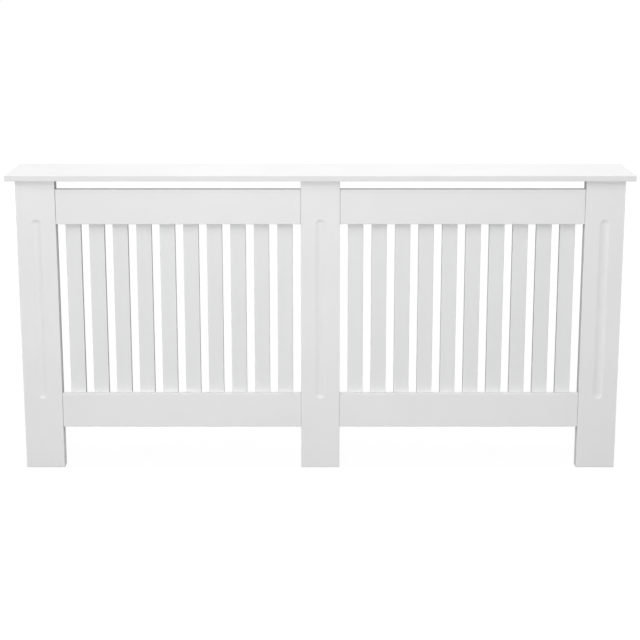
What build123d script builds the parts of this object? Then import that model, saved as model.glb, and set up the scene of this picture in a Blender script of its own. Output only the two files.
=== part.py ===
from build123d import *
import os

# Radiator cover cabinet in painted MDF, millimetres.
# X runs along the wall, Y from the room to the wall, Z up from the floor.
# The origin is on the floor, below the middle of the shelf.

os.makedirs("parts", exist_ok=True)

# ---- overall size -------------------------------------------------------------------
cabinet_length = 1720.0
cabinet_depth = 200.0
cabinet_height = 845.0

# ---- boards -------------------------------------------------------------------------
shelf_thickness = 16.0
shelf_front_overhang = 15.0
shelf_side_overhang = 25.0
shelf_arris = 1.5

post_width = 108.0
post_thickness = 30.0
post_arris = 1.5

rail_thickness = 15.0
rail_recess = 3.0           # the rails' fronts lie this far behind the posts' fronts
rail_arris = 1.5
top_rail_height = 98.0
bottom_rail_height = 98.0
warm_air_slot = 25.0        # between each top rail and the shelf
floor_gap = 120.0           # below each bottom rail

slat_count = 10             # in each bay
slat_width = 42.0
slat_thickness = 15.0
slat_rail_overlap = 60.0    # how far a slat runs up or down behind its rail
slat_arris = 1.5

side_thickness = 15.0
side_arris = 1.0
skirting_notch_height = 135.0
skirting_notch_depth = 25.0
skirting_notch_radius = 6.0

# ---- flute on each post ---------------------------------------------------------------
flute_width = 26.0
flute_depth = 3.5
flute_rim = 1.0             # softened edge round the flute
flute_top_rise = 14.0       # the flute runs this far up past the top rail's lower edge
flute_bottom_drop = 14.0    # and this far down past the bottom rail's upper edge

# ---- cam fittings, dowels and biscuits ----------------------------------------------------
cam_setback = 34.0          # from the joint to the cam's centre
cam_radius = 7.5
cam_height = 12.0
cam_flush_depth = 0.3       # the cam's face lies this far below the board
cam_bore_clearance = 0.1
cam_channel_clearance = 0.25
cam_cross_length = 8.0
cam_cross_width = 1.6
cam_cross_depth = 2.5

bolt_axis_depth = 7.5       # from the cam's face of the board to the bolt's axis
bolt_thread_length = 11.0
bolt_shank_radius = 2.5
bolt_head_radius = 3.3
bolt_head_length = 4.0
bolt_clearance = 0.1
blind_end_clearance = 0.5   # room left at the bottom of every blind hole

dowel_radius = 4.0
dowel_length = 30.0
dowel_face_depth = 10.0     # the share that enters the board's face or edge
dowel_clearance = 0.1
shelf_dowel_spread = 30.0   # from the centre post's middle
side_dowel_spread = 42.0    # from the side panel's middle
side_cam_inset = 200.0      # of a side panel's front cams, from the floor and from the shelf

biscuit_length = 56.0
biscuit_width = 23.0
biscuit_thickness = 4.0
biscuit_tip = 4.0           # width left at each end
biscuit_clearance = 0.2
biscuit_cutter_radius = 50.0
biscuit_slot_depth = 12.0

# ---- wall brackets ------------------------------------------------------------------------
bracket_leg = 25.0
bracket_height = 40.0
bracket_thickness = 2.0
bracket_bend_radius = 2.0   # inside of the bend
bracket_corner = 3.0        # cut off each free corner
bracket_top_drop = 60.0     # from the shelf's underside to the bracket's top
bracket_hole_radius = 2.25
bracket_hole_spacing = 22.0
bracket_hole_inset = 9.0    # from the leg's free edge

screw_shank_radius = 1.7
screw_head_radius = 3.4
screw_head_height = 1.9
screw_length = 12.0
screw_pilot_clearance = 0.1

# ---- places worked out from the sizes above -----------------------------------------------
shelf_front_y = -cabinet_depth / 2
wall_y = cabinet_depth / 2
shelf_underside_z = cabinet_height - shelf_thickness

post_front_y = shelf_front_y + shelf_front_overhang
post_back_y = post_front_y + post_thickness
rail_front_y = post_front_y + rail_recess
rail_back_y = rail_front_y + rail_thickness
slat_back_y = rail_back_y + slat_thickness

body_half = cabinet_length / 2 - shelf_side_overhang
side_inner_x = body_half - side_thickness
outer_post_x = body_half - post_width / 2
bay_outer_x = body_half - post_width
bay_inner_x = post_width / 2
bay_length = bay_outer_x - bay_inner_x
bay_centre_x = (bay_outer_x + bay_inner_x) / 2

bottom_rail_bottom_z = floor_gap
bottom_rail_top_z = bottom_rail_bottom_z + bottom_rail_height
top_rail_top_z = shelf_underside_z - warm_air_slot
top_rail_bottom_z = top_rail_top_z - top_rail_height
slat_bottom_z = bottom_rail_top_z - slat_rail_overlap
slat_top_z = top_rail_bottom_z + slat_rail_overlap
slat_gap = (bay_length - slat_count * slat_width) / (slat_count + 1)
slat_pitch = slat_width + slat_gap
flute_top_z = top_rail_bottom_z + flute_top_rise
flute_bottom_z = bottom_rail_top_z - flute_bottom_drop

# A cutter ball sunk flute_depth into the face leaves a groove flute_width wide.
flute_radius = (flute_width**2 / 4 + flute_depth**2) / (2 * flute_depth)
flute_axis_y = post_front_y + flute_depth - flute_radius

side_joint_x = body_half - bolt_axis_depth
side_centre_y = (wall_y + post_back_y) / 2
post_bolt_y = post_back_y - bolt_axis_depth
rail_middle_y = (rail_front_y + rail_back_y) / 2
rail_middle_zs = [
    (bottom_rail_bottom_z + bottom_rail_top_z) / 2,
    (top_rail_bottom_z + top_rail_top_z) / 2,
]
side_cam_zs = [side_cam_inset, shelf_underside_z - side_cam_inset]
side_dowel_z = sum(side_cam_zs) / 2

DOWN = (0, 0, -1)
TO_WALL = (0, 1, 0)
SIDES = {"left": -1, "right": 1}
POSTS = {"left": -outer_post_x, "centre": 0.0, "right": outer_post_x}


# ---- knock-down joints: one plane each ------------------------------------------------------
# The origin is on the joint, on the bolt's or dowel's axis. x_dir points into the board
# that holds the cam, and z_dir points out of the face that the cam is sunk in.
def post_top(x):
    return Plane(origin=(x, post_bolt_y, shelf_underside_z), x_dir=DOWN, z_dir=TO_WALL)


def side_top(side, y):
    return Plane(origin=(side * side_joint_x, y, shelf_underside_z), x_dir=DOWN, z_dir=(-side, 0, 0))


def side_front(side, z):
    return Plane(origin=(side * side_joint_x, post_back_y, z), x_dir=TO_WALL, z_dir=(-side, 0, 0))


post_top_cams = [post_top(POSTS["centre"])]
post_top_dowels = [post_top(x) for x in (-shelf_dowel_spread, shelf_dowel_spread)]
side_top_cams = [side_top(s, side_centre_y) for s in SIDES.values()]
side_top_dowels = [side_top(s, side_centre_y + side_dowel_spread) for s in SIDES.values()]
side_front_cams = [side_front(s, z) for s in SIDES.values() for z in side_cam_zs]
side_front_dowels = [side_front(s, side_dowel_z) for s in SIDES.values()]


# ---- the fittings themselves, drawn once round a joint's own plane --------------------------
def cam_bolt():
    """Headed stud, along the joint's X axis."""
    head_end = cam_setback + bolt_head_length / 2
    head_start = head_end - bolt_head_length
    with BuildPart() as bolt:
        with BuildSketch(Plane.XY):
            with BuildLine():
                Polyline(
                    (-bolt_thread_length, 0),
                    (-bolt_thread_length, bolt_shank_radius),
                    (head_start, bolt_shank_radius),
                    (head_start, bolt_head_radius),
                    (head_end, bolt_head_radius),
                    (head_end, 0),
                    close=True,
                )
            make_face()
        revolve(axis=Axis.X)
    return bolt.part


def cam_lock():
    """Drum with a channel for the bolt's head and a cross for the screwdriver."""
    face = bolt_axis_depth - cam_flush_depth
    channel = bolt_head_radius + cam_channel_clearance
    with BuildPart() as cam:
        with BuildSketch(Plane.XY.offset(face)):
            with Locations((cam_setback, 0)):
                Circle(cam_radius)
        extrude(amount=-cam_height)
        with BuildSketch(Plane.YZ.offset(cam_setback - cam_radius)):
            Circle(channel)
            with Locations((0, -cam_height / 2)):
                Rectangle(2 * channel, cam_height)
        extrude(amount=cam_radius + bolt_head_length, mode=Mode.SUBTRACT)
        with BuildSketch(Plane.XY.offset(face)):
            with Locations((cam_setback, 0)):
                Rectangle(cam_cross_length, cam_cross_width)
                Rectangle(cam_cross_width, cam_cross_length)
        extrude(amount=-cam_cross_depth, mode=Mode.SUBTRACT)
    return cam.part


def dowel_pin():
    with BuildPart() as dowel:
        with BuildSketch(Plane.YZ.offset(-dowel_face_depth)):
            Circle(dowel_radius)
        extrude(amount=dowel_length)
    return dowel.part


def biscuit():
    """Flat lens of pressed beech, centred on the joint."""
    half_length, half_width, half_tip = biscuit_length / 2, biscuit_width / 2, biscuit_tip / 2
    with BuildPart() as lens:
        with BuildSketch(Plane.XZ):
            with BuildLine():
                right = ThreePointArc((half_tip, -half_length), (half_width, 0), (half_tip, half_length))
                left = ThreePointArc((-half_tip, half_length), (-half_width, 0), (-half_tip, -half_length))
                Line(right @ 1, left @ 0)
                Line(left @ 1, right @ 0)
            make_face()
        extrude(amount=biscuit_thickness / 2, both=True)
    return lens.part


def bore_for_cams(planes):
    """In the board that holds the cams: the bolts' passages and the cams' blind seats."""
    with Locations(*[Plane(p.origin, x_dir=p.z_dir, z_dir=-p.x_dir) for p in planes]):
        Hole(bolt_head_radius + bolt_clearance, depth=cam_setback)
    seats = [Plane(p.from_local_coords((cam_setback, 0, bolt_axis_depth)), z_dir=p.z_dir) for p in planes]
    with Locations(*seats):
        Hole(cam_radius + cam_bore_clearance, depth=cam_flush_depth + cam_height)


def bore_for_bolts(planes):
    """In the board that the bolts are screwed into."""
    with Locations(*[Plane(p.origin, x_dir=p.z_dir, z_dir=p.x_dir) for p in planes]):
        Hole(bolt_shank_radius + bolt_clearance, depth=bolt_thread_length + blind_end_clearance)


def bore_for_dowels(planes, into_cam_board):
    """The dowels' blind holes in one of the two boards of a joint."""
    depth = dowel_length - dowel_face_depth if into_cam_board else dowel_face_depth
    outward = -1 if into_cam_board else 1
    with Locations(*[Plane(p.origin, x_dir=p.z_dir, z_dir=p.x_dir * outward) for p in planes]):
        Hole(dowel_radius + dowel_clearance, depth=depth + blind_end_clearance)


def write(builder, label):
    builder.part.label = label
    export_step(builder.part, f"parts/{label}.step")


def cut_biscuit_slots(joint_x, into_board, heights):
    """What the disc cutter leaves in one board's end or edge; into_board is -1 or 1 along X."""
    cutter_x = joint_x - into_board * (biscuit_cutter_radius - biscuit_slot_depth)
    slot_width = biscuit_thickness + biscuit_clearance
    with Locations(*[(cutter_x, rail_middle_y, z) for z in heights]):
        Cylinder(biscuit_cutter_radius, slot_width, rotation=(90, 0, 0), mode=Mode.SUBTRACT)


# ---- shelf ------------------------------------------------------------------------------------
with BuildPart() as top_shelf:
    with BuildSketch(Plane.XY.offset(shelf_underside_z)):
        Rectangle(cabinet_length, cabinet_depth)
    extrude(amount=shelf_thickness)
    fillet(top_shelf.edges(), radius=shelf_arris)
    bore_for_bolts(post_top_cams + side_top_cams)
    bore_for_dowels(post_top_dowels + side_top_dowels, into_cam_board=False)
write(top_shelf, "top_shelf")


# ---- posts --------------------------------------------------------------------------------------
def build_post(name, x):
    with BuildPart() as post:
        with BuildSketch(Plane.XY):
            with Locations((x, (post_front_y + post_back_y) / 2)):
                Rectangle(post_width, post_thickness)
        extrude(amount=shelf_underside_z)
        fillet(post.edges().filter_by(Axis.Z).group_by(Axis.Y)[0], radius=post_arris)

        # The flute is what a core-box cutter leaves: a long pill, sunk into the face.
        with BuildSketch(Plane(origin=(x, flute_axis_y, 0), x_dir=(1, 0, 0), z_dir=(0, -1, 0))):
            with BuildLine():
                low = flute_bottom_z + flute_width / 2
                high = flute_top_z - flute_width / 2
                side_line = Line((flute_radius, low), (flute_radius, high))
                top_end = RadiusArc(side_line @ 1, (0, high + flute_radius), -flute_radius)
                axis_line = Line(top_end @ 1, (0, low - flute_radius))
                RadiusArc(axis_line @ 1, side_line @ 0, -flute_radius)
            make_face()
        revolve(axis=Axis((x, flute_axis_y, 0), (0, 0, 1)), mode=Mode.SUBTRACT)
        front = post.faces().filter_by(Axis.Y).sort_by(Axis.Y)[0]
        fillet(front.inner_wires().edges(), radius=flute_rim)

        for edge in (-1, 1):
            if name == "centre" or edge == -SIDES[name]:
                cut_biscuit_slots(x + edge * post_width / 2, -edge, rail_middle_zs)
        if name == "centre":
            bore_for_cams(post_top_cams)
            bore_for_dowels(post_top_dowels, into_cam_board=True)
        else:
            bore_for_bolts([side_front(SIDES[name], z) for z in side_cam_zs])
            bore_for_dowels([side_front(SIDES[name], side_dowel_z)], into_cam_board=False)
    write(post, f"post_{name}")


for post_name, post_x in POSTS.items():
    build_post(post_name, post_x)


# ---- rails ----------------------------------------------------------------------------------------
def build_rail(name, side, bottom_z, height):
    with BuildPart() as rail:
        with BuildSketch(Plane.XY.offset(bottom_z)):
            with Locations((side * bay_centre_x, rail_middle_y)):
                Rectangle(bay_length, rail_thickness)
        extrude(amount=height)
        fillet(rail.edges().group_by(Axis.Y)[0], radius=rail_arris)
        middle_z = bottom_z + height / 2
        cut_biscuit_slots(side * bay_outer_x, -side, [middle_z])
        cut_biscuit_slots(side * bay_inner_x, side, [middle_z])
    write(rail, name)


for side_name, s in SIDES.items():
    build_rail(f"top_rail_{side_name}", s, top_rail_bottom_z, top_rail_height)
    build_rail(f"bottom_rail_{side_name}", s, bottom_rail_bottom_z, bottom_rail_height)


# ---- slats: glued to the backs of the rails ---------------------------------------------------------
for side_name, s in SIDES.items():
    first_slat_x = s * bay_centre_x - slat_pitch * (slat_count - 1) / 2
    for index in range(slat_count):
        with BuildPart() as slat:
            with BuildSketch(Plane.XY.offset(slat_bottom_z)):
                with Locations((first_slat_x + slat_pitch * index, (rail_back_y + slat_back_y) / 2)):
                    Rectangle(slat_width, slat_thickness)
            extrude(amount=slat_top_z - slat_bottom_z)
            fillet(slat.edges().filter_by(Axis.Z).group_by(Axis.Y)[0], radius=slat_arris)
        write(slat, f"slat_{side_name}_{index + 1:02d}")


# ---- wall brackets and their screws -----------------------------------------------------------------
bracket_top_z = shelf_underside_z - bracket_top_drop
bracket_centre_z = bracket_top_z - bracket_height / 2
bracket_hole_zs = [bracket_centre_z + dz * bracket_hole_spacing / 2 for dz in (-1, 1)]
side_hole_y = wall_y - bracket_leg + bracket_hole_inset
wall_hole_x = side_inner_x - bracket_leg + bracket_hole_inset


def screw_planes(side):
    """On the bracket's leg against the side panel, facing into the cabinet."""
    x = side * (side_inner_x - bracket_thickness)
    return [Plane(origin=(x, side_hole_y, z), z_dir=(-side, 0, 0)) for z in bracket_hole_zs]


def build_bracket(name, side):
    corner_x = side * side_inner_x
    with BuildPart() as bracket:
        with BuildSketch(Plane.XY.offset(bracket_top_z - bracket_height)):
            with BuildLine():
                bend = FilletPolyline(
                    (corner_x, wall_y - bracket_leg),
                    (corner_x, wall_y),
                    (corner_x - side * bracket_leg, wall_y),
                    radius=bracket_bend_radius + bracket_thickness,
                )
                offset(bend, amount=bracket_thickness, side=Side.LEFT if side > 0 else Side.RIGHT)
            make_face()
        extrude(amount=bracket_height)
        tips = bracket.edges().filter_by(lambda e: abs(e.length - bracket_thickness) < 0.01)
        chamfer(tips, length=bracket_corner)
        with Locations(*screw_planes(side)):
            CounterSinkHole(screw_shank_radius + screw_pilot_clearance, screw_head_radius)
        with Locations(*[Plane((side * wall_hole_x, wall_y, z), z_dir=TO_WALL) for z in bracket_hole_zs]):
            Hole(bracket_hole_radius, depth=2 * bracket_thickness)
    write(bracket, name)


for side_name, s in SIDES.items():
    build_bracket(f"wall_bracket_{side_name}", s)

    with BuildPart() as side_panel:
        with BuildSketch(Plane.YZ.offset(s * side_inner_x)):
            with BuildLine():
                Polyline(
                    (post_back_y, 0),
                    (wall_y - skirting_notch_depth, 0),
                    (wall_y - skirting_notch_depth, skirting_notch_height),
                    (wall_y, skirting_notch_height),
                    (wall_y, shelf_underside_z),
                    (post_back_y, shelf_underside_z),
                    close=True,
                )
            panel_outline = make_face()
            notch = panel_outline.vertices().group_by(Axis.Y)[1].sort_by(Axis.Z)[-1]
            fillet(notch, radius=skirting_notch_radius)
        extrude(amount=s * side_thickness)
        outer_edges = side_panel.edges().group_by(Axis.X)[-1 if s > 0 else 0]
        fillet(outer_edges.filter_by(Axis.Z), radius=side_arris)
        bore_for_cams([side_top(s, side_centre_y)] + [side_front(s, z) for z in side_cam_zs])
        bore_for_dowels([side_top(s, side_centre_y + side_dowel_spread)], into_cam_board=True)
        bore_for_dowels([side_front(s, side_dowel_z)], into_cam_board=True)
        with Locations(*screw_planes(s)):
            Hole(screw_shank_radius + screw_pilot_clearance, depth=screw_length + blind_end_clearance)
    write(side_panel, f"side_panel_{side_name}")


def countersunk_screw():
    """Flat-headed screw down the Z axis, its head's top at the origin."""
    head_rim = screw_head_radius - screw_pilot_clearance
    with BuildPart() as screw:
        with BuildSketch(Plane.XZ):
            with BuildLine():
                Polyline(
                    (0, 0),
                    (head_rim, 0),
                    (screw_shank_radius, -screw_head_height),
                    (screw_shank_radius, -screw_length),
                    (0, -screw_length),
                    close=True,
                )
            make_face()
        revolve(axis=Axis.Z)
    return screw.part


with BuildPart() as bracket_screws:
    with Locations(*[plane for s in SIDES.values() for plane in screw_planes(s)]):
        add(countersunk_screw())
write(bracket_screws, "bracket_screws")


# ---- cams, bolts, dowels and biscuits in their joints ---------------------------------------------------
all_cams = post_top_cams + side_top_cams + side_front_cams
biscuit_places = [
    (s * joint_x, rail_middle_y, z)
    for s in SIDES.values()
    for joint_x in (bay_inner_x, bay_outer_x)
    for z in rail_middle_zs
]

with BuildPart() as cam_locks:
    with Locations(*all_cams):
        add(cam_lock())
write(cam_locks, "cam_locks")

with BuildPart() as cam_bolts:
    with Locations(*all_cams):
        add(cam_bolt())
write(cam_bolts, "cam_bolts")

for label, planes in (
    ("shelf_dowels", post_top_dowels + side_top_dowels),
    ("side_dowels", side_front_dowels),
):
    with BuildPart() as dowels:
        with Locations(*planes):
            add(dowel_pin())
    write(dowels, label)

with BuildPart() as rail_biscuits:
    with Locations(*biscuit_places):
        add(biscuit())
write(rail_biscuits, "rail_biscuits")
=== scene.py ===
import math
import random

import bmesh
import bpy
from mathutils import Matrix, Vector


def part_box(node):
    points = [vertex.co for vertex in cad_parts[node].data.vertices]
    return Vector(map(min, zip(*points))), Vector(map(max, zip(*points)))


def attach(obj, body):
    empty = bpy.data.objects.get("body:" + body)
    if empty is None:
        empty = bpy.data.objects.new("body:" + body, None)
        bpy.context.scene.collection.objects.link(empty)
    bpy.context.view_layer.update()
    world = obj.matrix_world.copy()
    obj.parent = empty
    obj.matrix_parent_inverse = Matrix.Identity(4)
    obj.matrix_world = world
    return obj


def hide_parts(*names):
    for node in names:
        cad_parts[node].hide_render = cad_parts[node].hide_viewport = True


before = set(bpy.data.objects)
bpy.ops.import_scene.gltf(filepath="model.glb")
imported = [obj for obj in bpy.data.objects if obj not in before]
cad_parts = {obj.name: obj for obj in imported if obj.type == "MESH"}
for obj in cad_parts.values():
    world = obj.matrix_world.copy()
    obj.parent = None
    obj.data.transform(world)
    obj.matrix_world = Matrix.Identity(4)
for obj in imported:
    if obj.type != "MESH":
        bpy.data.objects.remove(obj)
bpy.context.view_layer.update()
bpy.ops.object.select_all(action="DESELECT")
scene = bpy.context.scene

# Painted radiator cover: three fluted posts, four rails, twenty slats, two side boards and a
# shelf. Metres, X along the wall, Y from the room to the wall, Z up from the floor.


# ---- camera: a little above the shelf, looking down at the middle of the front -------------
camera_place = (-0.001, -3.710, 1.484)
camera_pitch = math.radians(11.0)       # below level
camera_lens = 75.9                      # mm
camera_sensor = 36                      # mm wide
camera_shift_y = -0.19                  # brings the cabinet to the middle of the picture

bpy.ops.object.camera_add(location=camera_place, rotation=(math.pi / 2 - camera_pitch, 0, 0))
camera = bpy.context.object
camera.data.lens = camera_lens
camera.data.sensor_width = camera_sensor
camera.data.shift_y = camera_shift_y
scene.camera = camera
scene.view_settings.view_transform = "Standard"


# ---- laying out shader nodes ----------------------------------------------------------------
def add_node(tree, kind, inputs=None, **settings):
    """A node with its settings, and its inputs set to plain values or linked to sockets."""
    node = tree.nodes.new(kind)
    for name, value in settings.items():
        setattr(node, name, value)
    for name, value in (inputs or {}).items():
        if isinstance(value, bpy.types.NodeSocket):
            tree.links.new(value, node.inputs[name])
        else:
            node.inputs[name].default_value = value
    return node


def maths(tree, operation, *values, clamp=False):
    inputs = dict(enumerate(values))
    return add_node(tree, "ShaderNodeMath", inputs, operation=operation, use_clamp=clamp).outputs[0]


def vectors(tree, operation, *values):
    node = add_node(tree, "ShaderNodeVectorMath", dict(enumerate(values)), operation=operation)
    return node.outputs["Value"] if operation in ("DOT_PRODUCT", "LENGTH") else node.outputs["Vector"]


def remap(tree, value, low, high, to_low=0.0, to_high=1.0):
    inputs = {"Value": value, "From Min": low, "From Max": high, "To Min": to_low, "To Max": to_high}
    return add_node(tree, "ShaderNodeMapRange", inputs, interpolation_type="SMOOTHSTEP").outputs["Result"]


def mix_colour(tree, share, first, second):
    node = add_node(tree, "ShaderNodeMix", {0: share, 6: first, 7: second}, data_type="RGBA")
    return node.outputs[2]


def noise(tree, vector, scale, detail, roughness):
    inputs = {"Vector": vector, "Scale": scale, "Detail": detail, "Roughness": roughness}
    return add_node(tree, "ShaderNodeTexNoise", inputs).outputs["Fac"]


def stretched(tree, vector, scale):
    return add_node(tree, "ShaderNodeMapping", {"Vector": vector, "Scale": scale}).outputs["Vector"]


def part_of(tree, vector, axis):
    return add_node(tree, "ShaderNodeSeparateXYZ", {0: vector}).outputs[axis]


def start_group(name, inputs, outputs):
    """An empty node group and the nodes at its two ends."""
    tree = bpy.data.node_groups.new(name, "ShaderNodeTree")
    for socket, kind, value in inputs:
        made = tree.interface.new_socket(socket, in_out="INPUT", socket_type=kind)
        if value is not None:
            made.default_value = value
    for socket, kind in outputs:
        tree.interface.new_socket(socket, in_out="OUTPUT", socket_type=kind)
    return tree, tree.nodes.new("NodeGroupInput").outputs, tree.nodes.new("NodeGroupOutput").inputs


def use_group(tree, group, **inputs):
    named = {name.replace("_", " "): value for name, value in inputs.items()}
    return add_node(tree, "ShaderNodeGroup", named, node_tree=group)


FLOAT, VECTOR = "NodeSocketFloat", "NodeSocketVector"
look_round = 6              # samples of the nodes that look round a point


# ---- effects that several finishes share ------------------------------------------------------
def make_sprayed_film():
    """Sprayed paint: a slow swell in its thickness, orange peel, and fine stipple."""
    swell_scale, swell_range = 5.0, (0.32, 0.68)
    stipple_per_peel = 4.5
    peel_share, stipple_share = 0.8, 0.2
    tree, given, result = start_group(
        "sprayed_film",
        [("Vector", VECTOR, None), ("Peel Size", FLOAT, 0.003)],
        [("Height", FLOAT), ("Thickness", FLOAT)],
    )
    peel_scale = maths(tree, "DIVIDE", 1.0, given["Peel Size"])
    stipple_scale = maths(tree, "MULTIPLY", peel_scale, stipple_per_peel)
    peel = noise(tree, given["Vector"], peel_scale, detail=2.0, roughness=0.4)
    stipple = noise(tree, given["Vector"], stipple_scale, detail=1.0, roughness=0.5)
    swell = noise(tree, given["Vector"], swell_scale, detail=3.0, roughness=0.55)
    peel = maths(tree, "MULTIPLY", peel, peel_share)
    stipple = maths(tree, "MULTIPLY", stipple, stipple_share)
    tree.links.new(maths(tree, "ADD", peel, stipple), result["Height"])
    tree.links.new(remap(tree, swell, *swell_range), result["Thickness"])
    return tree


def make_worn_arris():
    """Where edges are handled and rubbed: found by comparing the true normal with a rounded one."""
    turn_range = (0.01, 0.22)
    patch_range = (0.40, 0.62)
    tree, given, result = start_group(
        "worn_arris",
        [("Vector", VECTOR, None), ("Reach", FLOAT, 0.003), ("Patchiness", FLOAT, 60.0)],
        [("Mask", FLOAT)],
    )
    rounded = add_node(tree, "ShaderNodeBevel", {"Radius": given["Reach"]}, samples=look_round)
    true_normal = tree.nodes.new("ShaderNodeNewGeometry").outputs["Normal"]
    likeness = vectors(tree, "DOT_PRODUCT", rounded.outputs["Normal"], true_normal)
    arris = remap(tree, maths(tree, "SUBTRACT", 1.0, likeness), *turn_range)
    patches = noise(tree, given["Vector"], given["Patchiness"], detail=4.0, roughness=0.6)
    patches = remap(tree, patches, *patch_range)
    tree.links.new(maths(tree, "MULTIPLY", arris, patches), result["Mask"])
    return tree


def make_shut_in():
    """Joints and narrow gaps: from 0 at Start to 1 at Full of the view that is shut off."""
    patch_scale, patch_range = 90.0, (0.25, 0.65)
    thinnest = 0.70             # what the thinnest patch keeps of the mask
    tree, given, result = start_group(
        "shut_in",
        [
            ("Vector", VECTOR, None),
            ("Reach", FLOAT, 0.004),
            ("Start", FLOAT, 0.15),
            ("Full", FLOAT, 0.55),
        ],
        [("Mask", FLOAT)],
    )
    around = add_node(tree, "ShaderNodeAmbientOcclusion", {"Distance": given["Reach"]}, samples=look_round)
    shut_off = maths(tree, "SUBTRACT", 1.0, around.outputs["AO"])
    closed = remap(tree, shut_off, given["Start"], given["Full"])
    patches = noise(tree, given["Vector"], patch_scale, detail=3.0, roughness=0.6)
    patches = remap(tree, patches, *patch_range, thinnest, 1.0)
    tree.links.new(maths(tree, "MULTIPLY", closed, patches), result["Mask"])
    return tree


def make_cut_edge():
    """The board's sawn edges, where the pressed layers drink the paint and stay a little fuzzy."""
    broad_range = (0.45, 0.85)          # how squarely a broad face looks along Face
    layer_scale, layer_share = 1400.0, 0.45
    fuzz_scale, fuzz_share = 1100.0, 0.55
    tree, given, result = start_group(
        "cut_edge",
        [("Vector", VECTOR, None), ("Face", VECTOR, (0, 1, 0))],
        [("Mask", FLOAT), ("Height", FLOAT)],
    )
    normal = tree.nodes.new("ShaderNodeNewGeometry").outputs["Normal"]
    facing = maths(tree, "ABSOLUTE", vectors(tree, "DOT_PRODUCT", normal, given["Face"]))
    depth = vectors(tree, "DOT_PRODUCT", given["Vector"], given["Face"])
    layer_inputs = {"W": depth, "Scale": layer_scale, "Detail": 2.0}
    layers = add_node(tree, "ShaderNodeTexNoise", layer_inputs, noise_dimensions="1D").outputs["Fac"]
    fuzz = noise(tree, given["Vector"], fuzz_scale, detail=3.0, roughness=0.65)
    layers = maths(tree, "MULTIPLY", layers, layer_share)
    fuzz = maths(tree, "MULTIPLY", fuzz, fuzz_share)
    tree.links.new(maths(tree, "SUBTRACT", 1.0, remap(tree, facing, *broad_range)), result["Mask"])
    tree.links.new(maths(tree, "ADD", layers, fuzz), result["Height"])
    return tree


def make_board_tone():
    """A slightly different white for each board of a row that repeats along X."""
    tree, given, result = start_group(
        "board_tone",
        [("Vector", VECTOR, None), ("Pitch", FLOAT, 0.1), ("Start", FLOAT, 0.0)],
        [("Tone", FLOAT)],
    )
    along = maths(tree, "SUBTRACT", part_of(tree, given["Vector"], "X"), given["Start"])
    board = maths(tree, "FLOOR", maths(tree, "DIVIDE", along, given["Pitch"]))
    drawn = add_node(tree, "ShaderNodeTexWhiteNoise", {"W": board}, noise_dimensions="1D")
    tree.links.new(drawn.outputs["Value"], result["Tone"])
    return tree


def make_metal_scuffs():
    """Tumbling marks and a fine grain on small metal parts."""
    mark_scale, mark_stretch, mark_range = 420.0, (1.0, 5.0, 0.6), (0.35, 0.7)
    grain_share, mark_share = 0.6, 0.4
    tree, given, result = start_group(
        "metal_scuffs",
        [("Vector", VECTOR, None), ("Grain", FLOAT, 1800.0)],
        [("Height", FLOAT), ("Dullness", FLOAT)],
    )
    grain = noise(tree, given["Vector"], given["Grain"], detail=2.0, roughness=0.6)
    drawn_out = stretched(tree, given["Vector"], mark_stretch)
    marks = noise(tree, drawn_out, mark_scale, detail=4.0, roughness=0.65)
    grain = maths(tree, "MULTIPLY", grain, grain_share)
    height = maths(tree, "ADD", grain, maths(tree, "MULTIPLY", marks, mark_share))
    tree.links.new(height, result["Height"])
    tree.links.new(remap(tree, marks, *mark_range), result["Dullness"])
    return tree


sprayed_film = make_sprayed_film()
worn_arris = make_worn_arris()
shut_in = make_shut_in()
cut_edge = make_cut_edge()
board_tone = make_board_tone()
metal_scuffs = make_metal_scuffs()


# ---- finishes -----------------------------------------------------------------------------------
def start_material(name):
    """A material with its shader, and the object's own coordinates."""
    material = bpy.data.materials.new(name)
    material.use_nodes = True
    tree = material.node_tree
    shader = tree.nodes["Principled BSDF"]
    where = tree.nodes.new("ShaderNodeTexCoord").outputs["Object"]
    return material, tree, shader, where


def rough_up(tree, shader, height, distance):
    bump = add_node(tree, "ShaderNodeBump", {"Height": height, "Distance": distance, "Strength": 1.0})
    tree.links.new(bump.outputs["Normal"], shader.inputs["Normal"])


def laid_over(tree, colour, over, mask, share):
    """A second colour over the first, where the mask is, as far as share."""
    return mix_colour(tree, maths(tree, "MULTIPLY", mask, share), colour, over)


board_whites = ((0.858, 0.858, 0.858, 1), (0.874, 0.874, 0.873, 1))      # thin and thick film
shaded_slat_whites = ((0.832, 0.836, 0.837, 1), (0.848, 0.852, 0.853, 1))       # a little cooler, and darker as painted shade, since the slats sit back behind the rails
white_edge = (0.838, 0.838, 0.836, 1)
gap_shade = (0.480, 0.480, 0.476, 1)        # painted shade on edges in narrow gaps and under the shelf, where little light reaches
rubbed_arris = (0.780, 0.772, 0.745, 1)
# dust and painted shade that gather in joints and seams
joint_dust_and_shade = (0.420, 0.415, 0.400, 1)

paint_gloss_level = 0.35
peel_size = 0.0032
arris_reach, arris_patches = 0.0028, 55.0
joint_reach, joint_shut = 0.004, (0.15, 0.55)
narrow_reach = 0.030
gap_shade_fade_in = (0.030, 0.050)       # metres up, over which the painted gap shade fades in, so that the floor close by leaves the feet unshaded
tone_share = 0.35
edge_share = 0.80
# how far the painted shade in narrow gaps darkens an edge
gap_shade_share = 0.85
rubbed_share = 0.40
thick_film_roughness = -0.05        # what each adds to the roughness of the plain film
edge_roughness = 0.10
rubbed_roughness = -0.08
dust_roughness = 0.20
fuzz_relief = 0.8                   # of an edge's fuzz, as a share of the film's own relief
paint_relief = 0.00009              # metres


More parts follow.
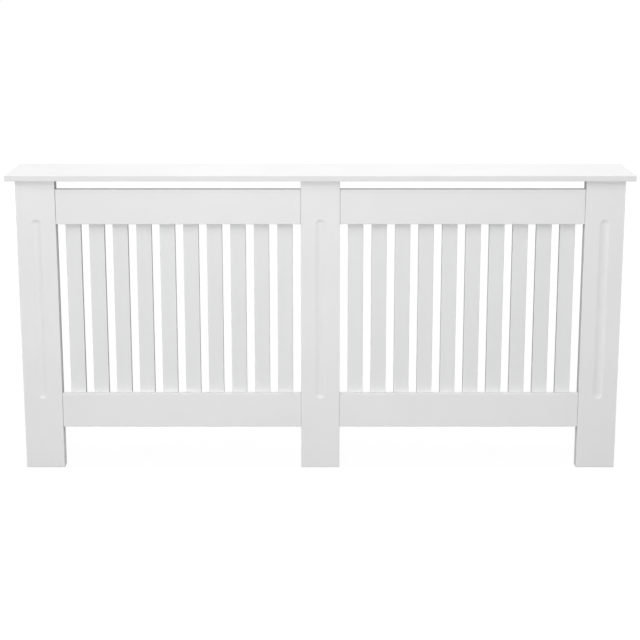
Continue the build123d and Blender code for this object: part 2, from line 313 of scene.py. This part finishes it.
def satin_white(
    name, face, whites=board_whites, tone=None, base_roughness=0.50, gap=(0.05, 0.25), dust_and_shade=0.75
):
    """Satin furniture paint on MDF. face is the direction that the board's broad faces look in,
    tone is the pitch and start of a row of boards, gap is the share of its view that an edge has
    lost where its painted shade starts and where it is darkest, and dust_and_shade is how much dust
    and painted shade its joints take."""
    material, tree, shader, where = start_material(name)
    shader.inputs["Specular IOR Level"].default_value = paint_gloss_level
    film = use_group(tree, sprayed_film, Vector=where, Peel_Size=peel_size).outputs
    edge = use_group(tree, cut_edge, Vector=where, Face=face).outputs
    worn = use_group(tree, worn_arris, Vector=where, Reach=arris_reach, Patchiness=arris_patches)
    joint = use_group(
        tree, shut_in, Vector=where, Reach=joint_reach, Start=joint_shut[0], Full=joint_shut[1]
    )
    narrow = use_group(tree, shut_in, Vector=where, Reach=narrow_reach, Start=gap[0], Full=gap[1])
    worn, joint, narrow = worn.outputs["Mask"], joint.outputs["Mask"], narrow.outputs["Mask"]

    # painted shade on edges in narrow gaps, faded out near the floor
    off_the_floor = remap(tree, part_of(tree, where, "Z"), *gap_shade_fade_in)
    gap_shade_mask = maths(tree, "MULTIPLY", maths(tree, "MULTIPLY", edge["Mask"], narrow), off_the_floor)
    colour = mix_colour(tree, film["Thickness"], *whites)
    if tone:
        drawn = use_group(tree, board_tone, Vector=where, Pitch=tone[0], Start=tone[1]).outputs["Tone"]
        colour = laid_over(tree, colour, white_edge, drawn, tone_share)
    colour = laid_over(tree, colour, white_edge, edge["Mask"], edge_share)
    # painted shade in narrow gaps
    colour = laid_over(tree, colour, gap_shade, gap_shade_mask, gap_shade_share)
    colour = laid_over(tree, colour, rubbed_arris, worn, rubbed_share)
    # dust in the joints, and painted shade where parts meet
    colour = laid_over(tree, colour, joint_dust_and_shade, joint, dust_and_shade)
    tree.links.new(colour, shader.inputs["Base Color"])

    roughness = maths(tree, "MULTIPLY_ADD", film["Thickness"], thick_film_roughness, base_roughness)
    roughness = maths(tree, "MULTIPLY_ADD", edge["Mask"], edge_roughness, roughness)
    roughness = maths(tree, "MULTIPLY_ADD", worn, rubbed_roughness, roughness)
    roughness = maths(tree, "MULTIPLY_ADD", joint, dust_roughness, roughness, clamp=True)
    tree.links.new(roughness, shader.inputs["Roughness"])

    fuzz = maths(tree, "MULTIPLY", edge["Mask"], edge["Height"])
    rough_up(tree, shader, maths(tree, "MULTIPLY_ADD", fuzz, fuzz_relief, film["Height"]), paint_relief)
    return material


def bare_metal(name, base, dark, roughness, grain, relief):
    """Plated or cast metal with tumbling marks; the colour is a darker grey in the recesses."""
    dull_share, recess_dark_share = 0.6, 0.5
    dull_roughness, rubbed_bright = 0.14, -0.10
    material, tree, shader, where = start_material(name)
    scuffs = use_group(tree, metal_scuffs, Vector=where, Grain=grain).outputs
    recess_dark = use_group(tree, shut_in, Vector=where, Reach=0.003, Start=0.25, Full=0.95)
    worn = use_group(tree, worn_arris, Vector=where, Reach=0.0006, Patchiness=500.0)
    colour = laid_over(tree, base, dark, scuffs["Dullness"], dull_share)
    colour = laid_over(tree, colour, dark, recess_dark.outputs["Mask"], recess_dark_share)
    tree.links.new(colour, shader.inputs["Base Color"])
    shader.inputs["Metallic"].default_value = 1.0
    roughness = maths(tree, "MULTIPLY_ADD", scuffs["Dullness"], dull_roughness, roughness)
    roughness = maths(tree, "MULTIPLY_ADD", worn.outputs["Mask"], rubbed_bright, roughness, clamp=True)
    tree.links.new(roughness, shader.inputs["Roughness"])
    rough_up(tree, shader, scuffs["Height"], relief)
    return material


beech_browns = ((0.60, 0.43, 0.27, 1), (0.74, 0.58, 0.40, 1))
beech_ray = (0.42, 0.27, 0.15, 1)


def beech(name, along):
    """Turned or pressed beech: pale brown with short dark rays. along is the grain's direction."""
    grain_squeeze = 0.93            # taken off the pattern's scale along the grain
    growth_scale, ray_scale = 260.0, 1500.0
    ray_range, ray_share = (0.58, 0.72), 0.6
    plain_roughness, ray_roughness = 0.62, 0.1
    beech_relief = 0.00012
    material, tree, shader, where = start_material(name)
    lengthwise = stretched(tree, where, Vector((1, 1, 1)) - grain_squeeze * Vector(along))
    growth = noise(tree, lengthwise, growth_scale, detail=3.0, roughness=0.5)
    rays = remap(tree, noise(tree, lengthwise, ray_scale, detail=2.0, roughness=0.6), *ray_range)
    colour = laid_over(tree, mix_colour(tree, growth, *beech_browns), beech_ray, rays, ray_share)
    tree.links.new(colour, shader.inputs["Base Color"])
    roughness = maths(tree, "MULTIPLY_ADD", rays, ray_roughness, plain_roughness)
    tree.links.new(roughness, shader.inputs["Roughness"])
    rough_up(tree, shader, growth, beech_relief)
    return material


left_slat, next_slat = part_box("slat_left_01"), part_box("slat_left_02")
slat_pitch = next_slat[0].x - left_slat[0].x
first_step = left_slat[0].x - (next_slat[0].x - left_slat[1].x) / 2     # in the gap before the first slat
slat_row = (slat_pitch, first_step)

paint_shelf = satin_white("paint_shelf", face=(0, 0, 1), base_roughness=0.54)
paint_post = satin_white("paint_post", face=(0, 1, 0), dust_and_shade=0.95)
paint_top_rail = satin_white("paint_top_rail", face=(0, 1, 0), dust_and_shade=0.4)
paint_bottom_rail = satin_white("paint_bottom_rail", face=(0, 1, 0), gap=(0.60, 0.80), dust_and_shade=0.15)
paint_slat = satin_white("paint_slat", face=(0, 1, 0), whites=shaded_slat_whites, tone=slat_row, dust_and_shade=0.2)
paint_side = satin_white("paint_side", face=(1, 0, 0))
cast_zinc = bare_metal(
    "cast_zinc", (0.60, 0.60, 0.59, 1), (0.38, 0.38, 0.37, 1), roughness=0.40, grain=1500.0, relief=0.00004
)
zinc_plate = bare_metal(
    "zinc_plate", (0.68, 0.69, 0.70, 1), (0.50, 0.52, 0.54, 1), roughness=0.26, grain=2600.0, relief=0.00001
)
beech_upright = beech("beech_upright", along=(0, 0, 1))
beech_level = beech("beech_level", along=(0, 1, 0))

finishes = {
    "top_shelf": paint_shelf,
    "post_": paint_post,
    "top_rail_": paint_top_rail,
    "bottom_rail_": paint_bottom_rail,
    "slat_": paint_slat,
    "side_panel_": paint_side,
    "cam_locks": cast_zinc,
    "cam_bolts": zinc_plate,
    "wall_bracket_": zinc_plate,
    "bracket_screws": zinc_plate,
    "shelf_dowels": beech_upright,
    "rail_biscuits": beech_upright,
    "side_dowels": beech_level,
}
for node_name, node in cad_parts.items():
    finish = next(made for start, made in finishes.items() if node_name.startswith(start))
    for slot in node.material_slots:
        slot.material = finish


# ---- modelling by hand ------------------------------------------------------------------------------
squarely = 0.9              # a face looks along an axis where its normal passes this
hair = 1e-6                 # metres, for picking by place


def select_only(*pieces):
    """Select these pieces and nothing else; the first is the active one."""
    bpy.ops.object.select_all(action="DESELECT")
    for piece in pieces:
        piece.select_set(True)
    bpy.context.view_layer.objects.active = pieces[0]


def open_for_editing(piece):
    """Edit mode on one piece, with nothing selected in it."""
    select_only(piece)
    bpy.ops.object.mode_set(mode="EDIT")
    bpy.ops.mesh.select_mode(type="FACE")
    bpy.ops.mesh.select_all(action="DESELECT")
    return bmesh.from_edit_mesh(piece.data)


def pick(mesh, parts, wanted):
    """Select the faces or edges of an edit mesh for which wanted is true."""
    bpy.ops.mesh.select_all(action="DESELECT")
    for part in parts:
        part.select_set(wanted(part))
    mesh.select_flush_mode()


def middle(part):
    return sum((corner.co for corner in part.verts), Vector()) / len(part.verts)


def apply_place(piece):
    """Put the piece's turn, size and place into its mesh."""
    select_only(piece)
    bpy.ops.object.transform_apply(location=True, rotation=True, scale=True)


def extrude(x=0.0, y=0.0, z=0.0):
    bpy.ops.mesh.extrude_region_move(TRANSFORM_OT_translate={"value": (x, y, z)})


def face_outwards():
    bpy.ops.mesh.select_all(action="SELECT")
    bpy.ops.mesh.normals_make_consistent(inside=False)


def set_copy(pattern, name, place):
    """A copy of a pattern, with a mesh of its own that is moved to its place."""
    copy = bpy.data.objects.new(name, pattern.data.copy())
    scene.collection.objects.link(copy)
    copy.data.transform(place)
    return copy


def join(pieces, name):
    select_only(*pieces)
    bpy.ops.object.join()
    bpy.context.object.name = name
    return bpy.context.object


# ---- staples that hold the slats to the rails, seen from behind ---------------------------------------
staple_crown = 0.0060        # across, outside
staple_wire = 0.0012         # along the slat
staple_flat = 0.0009         # the wire's thickness, square to the slat
staple_leg = 0.0240
staple_proud = 0.0003        # what stands out of the slat's back
staple_corner = 0.0004
staple_point = 0.25          # a leg's width at its tip, as a share of the leg's
staple_spread = 0.0110       # of a pair, either side of the slat's middle
stray_across = 0.002         # how far a hand misses the mark
stray_along = 0.010
stray_turn = 14              # degrees


def make_staple():
    """One staple, its crown along X at the origin and its legs towards the room."""
    crown_middle = staple_proud - staple_flat / 2
    bpy.ops.mesh.primitive_cube_add(size=1, location=(0, crown_middle, 0))
    staple = bpy.context.object
    staple.scale = (staple_crown, staple_flat, staple_wire)
    apply_place(staple)

    open_for_editing(staple)
    leg_inside = staple_crown / 2 - staple_wire
    for x in (-leg_inside, leg_inside):
        bpy.ops.mesh.select_all(action="SELECT")
        bpy.ops.mesh.bisect(plane_co=(x, 0, 0), plane_no=(1, 0, 0))
    mesh = bmesh.from_edit_mesh(staple.data)
    pick(mesh, mesh.faces, lambda f: f.normal.y < -squarely and abs(middle(f).x) > leg_inside)
    extrude(y=-staple_leg)
    for side in (-1, 1):
        mesh = bmesh.from_edit_mesh(staple.data)
        pick(
            mesh,
            mesh.faces,
            lambda f: f.normal.y < -squarely and middle(f).y < -staple_leg and middle(f).x * side > 0,
        )
        bpy.ops.transform.resize(value=(staple_point, 1, 1))
    bpy.ops.mesh.select_mode(type="EDGE")
    mesh = bmesh.from_edit_mesh(staple.data)
    back, end = staple_proud - hair, staple_crown / 2 - hair
    pick(mesh, mesh.edges, lambda e: middle(e).y > back and abs(middle(e).x) > end)
    bpy.ops.mesh.bevel(offset=staple_corner, segments=3, affect="EDGES")
    bpy.ops.object.mode_set(mode="OBJECT")
    return staple


def drive_staples(side, pattern, rng):
    """Two staples into each end of each slat of one bay, as a hand with a staple gun leaves them."""
    top_rail, bottom_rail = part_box(f"top_rail_{side}"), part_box(f"bottom_rail_{side}")
    driven = []
    for name in sorted(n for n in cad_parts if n.startswith(f"slat_{side}_")):
        low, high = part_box(name)
        for z in ((low.z + bottom_rail[1].z) / 2, (top_rail[0].z + high.z) / 2):
            for across in (-staple_spread, staple_spread):
                x = (low.x + high.x) / 2 + across + rng.uniform(-stray_across, stray_across)
                place = Vector((x, high.y, z + rng.uniform(-stray_along, stray_along)))
                turn = Matrix.Rotation(math.radians(rng.uniform(-stray_turn, stray_turn)), 4, "Y")
                driven.append(set_copy(pattern, "staple", Matrix.Translation(place) @ turn))
    bay_staples = join(driven, f"slat_staples_{side}")
    bay_staples.data.materials.append(zinc_plate)
    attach(bay_staples, "root")


staple_gun = random.Random(11)
one_staple = make_staple()
for bay in ("left", "right"):
    drive_staples(bay, one_staple, staple_gun)
bpy.data.objects.remove(one_staple)


# ---- countersunk screws in the wall brackets, with a cross recess and a thread ----------------------------
head_radius = 0.0033
head_rim = 0.0003            # straight part of the head's edge
head_softening = 0.00015
head_sides = 32
cone_depth = 0.0019
shank_radius = 0.0013
screw_length = 0.0120
point_length = 0.0018
point_radius = 0.12          # as a share of the shank's
thread_radius = 0.0017
thread_pitch = 0.0013
thread_ridge = 0.00039       # from the ridge's middle to its crest
thread_start = 0.0030        # below the head's top
thread_turns = 6
thread_steps = 20            # in each turn
recess_span = 0.0036
recess_width = 0.0008
recess_depth = 0.0016
recess_narrowing = (0.35, 0.6, 1)       # of each arm's floor, along and across the arm
smooth_below = 35            # degrees
bracket_plate = 0.002


def make_recess_arms():
    """The two arms of a cross that narrows as it goes in."""
    arms = []
    for turn in (0, math.pi / 2):
        bpy.ops.mesh.primitive_cube_add(size=1, location=(0, 0, 0))
        arm = bpy.context.object
        arm.scale = (recess_span, recess_width, 2 * recess_depth)
        apply_place(arm)
        mesh = open_for_editing(arm)
        pick(mesh, mesh.faces, lambda f: f.normal.z < -squarely)
        bpy.ops.transform.resize(value=recess_narrowing)
        bpy.ops.object.mode_set(mode="OBJECT")
        arm.rotation_euler.z = turn
        apply_place(arm)
        arms.append(arm)
    return arms


def make_thread():
    """A ridge that winds down the shank."""
    ridge_middle = (thread_radius - thread_ridge, 0, -thread_start)
    bpy.ops.mesh.primitive_circle_add(
        vertices=3, radius=thread_ridge, location=ridge_middle, rotation=(math.pi / 2, 0, 0)
    )
    thread = bpy.context.object
    apply_place(thread)
    winding = thread.modifiers.new("winding", "SCREW")
    winding.axis = "Z"
    winding.angle = 2 * math.pi
    winding.screw_offset = -thread_pitch
    winding.iterations = thread_turns
    winding.steps = winding.render_steps = thread_steps
    winding.use_normal_calculate = True
    bpy.ops.object.modifier_apply(modifier=winding.name)
    open_for_editing(thread)
    bpy.ops.mesh.select_mode(type="EDGE")
    bpy.ops.mesh.select_non_manifold()
    bpy.ops.mesh.edge_face_add()
    face_outwards()
    bpy.ops.object.mode_set(mode="OBJECT")
    return thread


def make_screw():
    """One screw down the Z axis, the top of its head at the origin."""
    bpy.ops.mesh.primitive_circle_add(
        vertices=head_sides, radius=head_radius, fill_type="NGON", location=(0, 0, 0)
    )
    screw = bpy.context.object
    open_for_editing(screw)
    bpy.ops.mesh.select_all(action="SELECT")
    steps = (
        (head_rim, 1.0),
        (cone_depth - head_rim, shank_radius / head_radius),
        (screw_length - point_length - cone_depth, 1.0),
        (point_length, point_radius),
    )
    for drop, shrink in steps:
        extrude(z=-drop)
        bpy.ops.transform.resize(value=(shrink, shrink, 1))
    face_outwards()
    bpy.ops.mesh.select_mode(type="EDGE")
    mesh = bmesh.from_edit_mesh(screw.data)
    pick(mesh, mesh.edges, lambda e: middle(e).z > -hair)
    bpy.ops.mesh.bevel(offset=head_softening, segments=2, affect="EDGES")
    bpy.ops.object.mode_set(mode="OBJECT")

    for arm in make_recess_arms():
        cut = screw.modifiers.new("recess", "BOOLEAN")
        cut.operation, cut.solver, cut.object = "DIFFERENCE", "EXACT", arm
        bpy.context.view_layer.objects.active = screw
        bpy.ops.object.modifier_apply(modifier=cut.name)
        bpy.data.objects.remove(arm)

    screw = join([screw, make_thread()], "screw")
    bpy.ops.object.shade_smooth_by_angle(angle=math.radians(smooth_below))
    return screw


def drive_screws(pattern, rng):
    """The four screws, each turned by as much as its driver happened to leave it."""
    low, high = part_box("bracket_screws")
    inner_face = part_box("side_panel_right")[0].x - bracket_plate
    driven = []
    for side in (-1, 1):
        for z in (low.z + head_radius, high.z - head_radius):
            head_out = Vector((-side, 0, 0)).to_track_quat("Z", "Y").to_matrix().to_4x4()
            turn = Matrix.Rotation(rng.uniform(0, math.pi / 2), 4, "Z")
            place = Matrix.Translation((side * inner_face, (low.y + high.y) / 2, z))
            driven.append(set_copy(pattern, "screw", place @ head_out @ turn))
    screws = join(driven, "countersunk_screws")
    screws.data.materials.append(zinc_plate)
    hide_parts("bracket_screws")
    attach(screws, "root")


one_screw = make_screw()
drive_screws(one_screw, random.Random(5))
bpy.data.objects.remove(one_screw)


# ---- studio: a white surround and floor, and six soft boxes ---------------------------------------------
def seen_directly(tree):
    """1 for rays from the camera or off gloss and glass, which see the white backdrop."""
    path = tree.nodes.new("ShaderNodeLightPath").outputs
    seen = maths(tree, "MAXIMUM", path["Is Camera Ray"], path["Is Glossy Ray"])
    return maths(tree, "MAXIMUM", seen, path["Is Transmission Ray"])


white = (1, 1, 1, 1)
sky_strength = 0.10          # of the light that the surround gives

world = bpy.data.worlds.new("studio_surround")
world.use_nodes = True
scene.world = world
sky_tree = world.node_tree
sky_share = maths(sky_tree, "MULTIPLY_ADD", seen_directly(sky_tree), 1.0 - sky_strength, sky_strength)
sky_tree.links.new(sky_share, sky_tree.nodes["Background"].inputs["Strength"])
sky_tree.nodes["Background"].inputs["Color"].default_value = white

# name: (place, what it points at, size along and across, watts)
soft_boxes = {
    "key_box": ((-0.4, -3.8, 5.1), (0.0, -0.08, 0.45), (2.8, 4.4), 164.0),
    "front_box": ((-0.45, -4.8, 1.2), (0.0, -0.08, 0.45), (2.2, 1.2), 92.0),
    "top_box": ((0.1, 0.2, 4.4), (0.1, 0.0, 0.8), (2.6, 1.2), 43.0),
    "back_box": ((0.2, 5.4, 2.7), (0.0, 0.0, 0.45), (3.6, 2.0), 165.0),
    "left_box": ((-4.5, 0.2, 1.6), (-0.8, 0.0, 0.45), (1.6, 1.6), 72.0),
    "right_box": ((4.5, 0.2, 1.6), (0.8, 0.0, 0.45), (1.6, 1.6), 72.0),
}
for box_name, (place, target, (size_along, size_across), watts) in soft_boxes.items():
    bpy.ops.object.light_add(type="AREA", location=place)
    light = bpy.context.object
    light.name = box_name
    light.rotation_mode = "QUATERNION"
    light.rotation_quaternion = (Vector(place) - Vector(target)).to_track_quat("Z", "Y")
    light.data.shape = "RECTANGLE"
    light.data.size, light.data.size_y = size_along, size_across
    light.data.energy = watts
    light.visible_glossy = box_name != "back_box"       # no streak of it along the shelf

floor_size = 120.0
near_glow = 0.93            # what the camera sees of the floor's own white near the cabinet
far_glow = 1.0
glow_reach = (2.5, 7.0)     # metres from the cabinet, over which the one turns into the other
floor_grey = (0.08, 0.08, 0.08, 1)          # takes the light and the shadow that show on it
floor_bounce = (0.30, 0.30, 0.30, 1)        # what the cabinet gets back from below

bpy.ops.mesh.primitive_plane_add(size=floor_size, location=(0, 0, 0))
floor = bpy.context.object
floor.name = "studio_floor"
floor_paper = bpy.data.materials.new("floor_paper")
floor_paper.use_nodes = True
floor_tree = floor_paper.node_tree
floor_tree.nodes.remove(floor_tree.nodes["Principled BSDF"])
spot = floor_tree.nodes.new("ShaderNodeTexCoord").outputs["Object"]
brightness = remap(floor_tree, vectors(floor_tree, "LENGTH", spot), *glow_reach, near_glow, far_glow)
glow = add_node(floor_tree, "ShaderNodeEmission", {"Color": white, "Strength": brightness})
shade = add_node(floor_tree, "ShaderNodeBsdfDiffuse", {"Color": floor_grey})
seen_floor = add_node(floor_tree, "ShaderNodeAddShader", {0: glow.outputs[0], 1: shade.outputs[0]})
lit_floor = add_node(floor_tree, "ShaderNodeBsdfDiffuse", {"Color": floor_bounce})
floor_mix = add_node(
    floor_tree,
    "ShaderNodeMixShader",
    {0: seen_directly(floor_tree), 1: lit_floor.outputs[0], 2: seen_floor.outputs[0]},
)
floor_tree.links.new(floor_mix.outputs[0], floor_tree.nodes["Material Output"].inputs["Surface"])
floor.data.materials.append(floor_paper)
